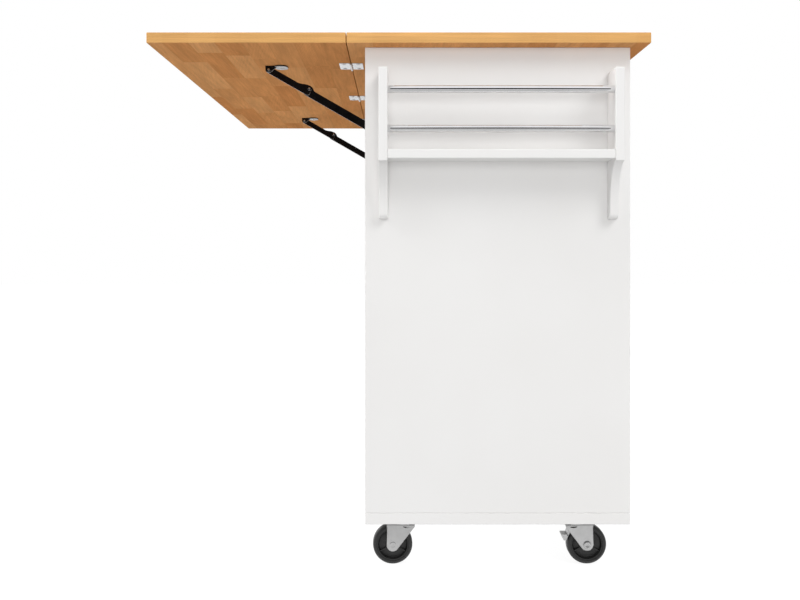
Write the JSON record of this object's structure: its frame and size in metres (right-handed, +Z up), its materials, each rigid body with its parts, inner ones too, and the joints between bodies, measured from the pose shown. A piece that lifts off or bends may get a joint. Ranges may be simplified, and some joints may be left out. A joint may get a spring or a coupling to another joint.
{
  "type": "drop leaf kitchen island",
  "caption": "Kitchen island on casters with a hinged drop leaf held by folding stays, drawers over doors, and a spice rack on one end.",
  "frame": {"origin": "on the floor, under the middle of the whole outline with the leaf raised", "axes": "+X along the island, away from the spice rack; +Y towards the drop leaf, so the drawers and doors face -Y; +Z up"},
  "size_m": [1.129, 0.843, 0.9115],
  "materials": {
    "wood": "clear satin oil on finger-jointed rubberwood",
    "white_lacquer": "smooth white lacquer on board",
    "black_steel": "black powder coat",
    "steel": "bare zinc-plated steel",
    "zinc": "zinc-plated pressed steel",
    "chrome": "bright chrome",
    "satin_nickel": "satin nickel",
    "wheel": "moulded black nylon"
  },
  "bodies": {
    "cabinet": {"worktop": "wood", "rack_end_panel": "white_lacquer", "far_end_panel": "white_lacquer", "bottom_panel": "white_lacquer", "back_panel": "white_lacquer", "centre_partition": "white_lacquer", "centre_stile": "white_lacquer", "top_rail": "white_lacquer", "middle_rails": "white_lacquer", "runner_packers": "white_lacquer", "cabinet_shelves": "white_lacquer", "shelf_pins": "steel", "rack_board_left": "white_lacquer", "rack_board_right": "white_lacquer", "rack_shelf": "white_lacquer", "rack_rods": "chrome", "top_hinge_plates": "steel", "cabinet_screws": "steel", "stay_wall_feet": "black_steel", "door_hinge_plates": "steel", "drawer_runner_rails": "steel", "caster_plates": "zinc"},
    "leaf": {"drop_leaf": "wood", "leaf_hinge_plates": "steel", "stay_leaf_feet": "black_steel", "leaf_screws": "steel"},
    "stay_1_upper": {"stay_1_upper_link": "black_steel"},
    "stay_1_lower": {"stay_1_lower_link": "black_steel"},
    "stay_2_upper": {"stay_2_upper_link": "black_steel"},
    "stay_2_lower": {"stay_2_lower_link": "black_steel"},
    "caster_1": {"caster_1_fork": "zinc"},
    "caster_1_rolling": {"caster_1_wheel": "wheel"},
    "caster_2": {"caster_2_fork": "zinc"},
    "caster_2_rolling": {"caster_2_wheel": "wheel"},
    "caster_2_brake": {"caster_2_brake_lever": "zinc"},
    "caster_3": {"caster_3_fork": "zinc"},
    "caster_3_rolling": {"caster_3_wheel": "wheel"},
    "caster_4": {"caster_4_fork": "zinc"},
    "caster_4_rolling": {"caster_4_wheel": "wheel"},
    "caster_4_brake": {"caster_4_brake_lever": "zinc"},
    "door_1": {"door_1": "white_lacquer", "door_1_knob": "satin_nickel", "door_1_hinge_leaves": "steel"},
    "door_2": {"door_2": "white_lacquer", "door_2_knob": "satin_nickel", "door_2_hinge_leaves": "steel"},
    "door_3": {"door_3": "white_lacquer", "door_3_knob": "satin_nickel", "door_3_hinge_leaves": "steel"},
    "door_4": {"door_4": "white_lacquer", "door_4_knob": "satin_nickel", "door_4_hinge_leaves": "steel"},
    "drawer_1": {"drawer_1_front": "white_lacquer", "drawer_1_box": "white_lacquer", "drawer_1_knob": "satin_nickel", "drawer_1_runners": "steel"},
    "drawer_2": {"drawer_2_front": "white_lacquer", "drawer_2_box": "white_lacquer", "drawer_2_knob": "satin_nickel", "drawer_2_runners": "steel"}
  },
  "joints": [
    {"name": "leaf_fold", "type": "hinge", "parent": "cabinet", "child": "leaf", "pos_m": [0, 0.088, 0.891], "axis": [-1, 0, 0], "range_deg": [0, 90]},
    {"name": "stay_1_leaf_pivot", "type": "hinge", "parent": "leaf", "child": "stay_1_upper", "pos_m": [-0.3365, 0.243, 0.8865], "axis": [-1, 0, 0], "range_deg": [-151, 0]},
    {"name": "stay_1_wall_pivot", "type": "hinge", "parent": "cabinet", "child": "stay_1_lower", "pos_m": [-0.3365, 0.059, 0.781], "axis": [-1, 0, 0], "range_deg": [0, 117]},
    {"name": "stay_2_leaf_pivot", "type": "hinge", "parent": "leaf", "child": "stay_2_upper", "pos_m": [0.3565, 0.243, 0.8865], "axis": [-1, 0, 0], "range_deg": [-151, 0]},
    {"name": "stay_2_wall_pivot", "type": "hinge", "parent": "cabinet", "child": "stay_2_lower", "pos_m": [0.3565, 0.059, 0.781], "axis": [-1, 0, 0], "range_deg": [0, 117]},
    {"name": "caster_1_swivel", "type": "hinge", "parent": "cabinet", "child": "caster_1", "pos_m": [-0.4515, -0.0095, 0.0755], "axis": [0, 0, 1], "continuous": true},
    {"name": "caster_1_roll", "type": "hinge", "parent": "caster_1", "child": "caster_1_rolling", "pos_m": [-0.45185, 0.0105, 0.0345], "axis": [-0.9998, -0.0175, 0], "continuous": true},
    {"name": "caster_2_swivel", "type": "hinge", "parent": "cabinet", "child": "caster_2", "pos_m": [-0.4515, -0.3085, 0.0755], "axis": [0, 0, 1], "continuous": true},
    {"name": "caster_2_roll", "type": "hinge", "parent": "caster_2", "child": "caster_2_rolling", "pos_m": [-0.4515, -0.3285, 0.0345], "axis": [1, 0, 0], "continuous": true},
    {"name": "caster_2_brake_press", "type": "hinge", "parent": "caster_2", "child": "caster_2_brake", "pos_m": [-0.4515, -0.2995, 0.062], "axis": [-1, 0, 0], "range_deg": [0, 5]},
    {"name": "caster_3_swivel", "type": "hinge", "parent": "cabinet", "child": "caster_3", "pos_m": [0.4945, -0.0095, 0.0755], "axis": [0, 0, 1], "continuous": true},
    {"name": "caster_3_roll", "type": "hinge", "parent": "caster_3", "child": "caster_3_rolling", "pos_m": [0.49728, 0.0103, 0.0345], "axis": [-0.9903, 0.1392, 0], "continuous": true},
    {"name": "caster_4_swivel", "type": "hinge", "parent": "cabinet", "child": "caster_4", "pos_m": [0.4945, -0.3085, 0.0755], "axis": [0, 0, 1], "continuous": true},
    {"name": "caster_4_roll", "type": "hinge", "parent": "caster_4", "child": "caster_4_rolling", "pos_m": [0.49172, -0.32831, 0.0345], "axis": [0.9903, -0.1392, 0], "continuous": true},
    {"name": "caster_4_brake_press", "type": "hinge", "parent": "caster_4", "child": "caster_4_brake", "pos_m": [0.49575, -0.29959, 0.062], "axis": [-0.9903, 0.1392, 0], "range_deg": [0, 5]},
    {"name": "door_1_swing", "type": "hinge", "parent": "cabinet", "child": "door_1", "pos_m": [-0.4825, -0.3968, 0.398], "axis": [0, 0, -1], "range_deg": [0, 100]},
    {"name": "door_2_swing", "type": "hinge", "parent": "cabinet", "child": "door_2", "pos_m": [-0.0015, -0.3968, 0.398], "axis": [0, 0, 1], "range_deg": [0, 90]},
    {"name": "door_3_swing", "type": "hinge", "parent": "cabinet", "child": "door_3", "pos_m": [0.0445, -0.3968, 0.398], "axis": [0, 0, -1], "range_deg": [0, 90]},
    {"name": "door_4_swing", "type": "hinge", "parent": "cabinet", "child": "door_4", "pos_m": [0.5255, -0.3968, 0.398], "axis": [0, 0, 1], "range_deg": [0, 100]},
    {"name": "drawer_1_slide", "type": "slide", "parent": "cabinet", "child": "drawer_1", "axis": [0, -1, 0], "range_m": [0, 0.3]},
    {"name": "drawer_2_slide", "type": "slide", "parent": "cabinet", "child": "drawer_2", "axis": [0, -1, 0], "range_m": [0, 0.3]}
  ],
  "couplings": [
    {"joint": "stay_1_leaf_pivot", "follows": "leaf_fold", "ratio": -1.6641},
    {"joint": "stay_1_wall_pivot", "follows": "leaf_fold", "ratio": 1.2873},
    {"joint": "stay_2_leaf_pivot", "follows": "leaf_fold", "ratio": -1.6641},
    {"joint": "stay_2_wall_pivot", "follows": "leaf_fold", "ratio": 1.2873}
  ]
}
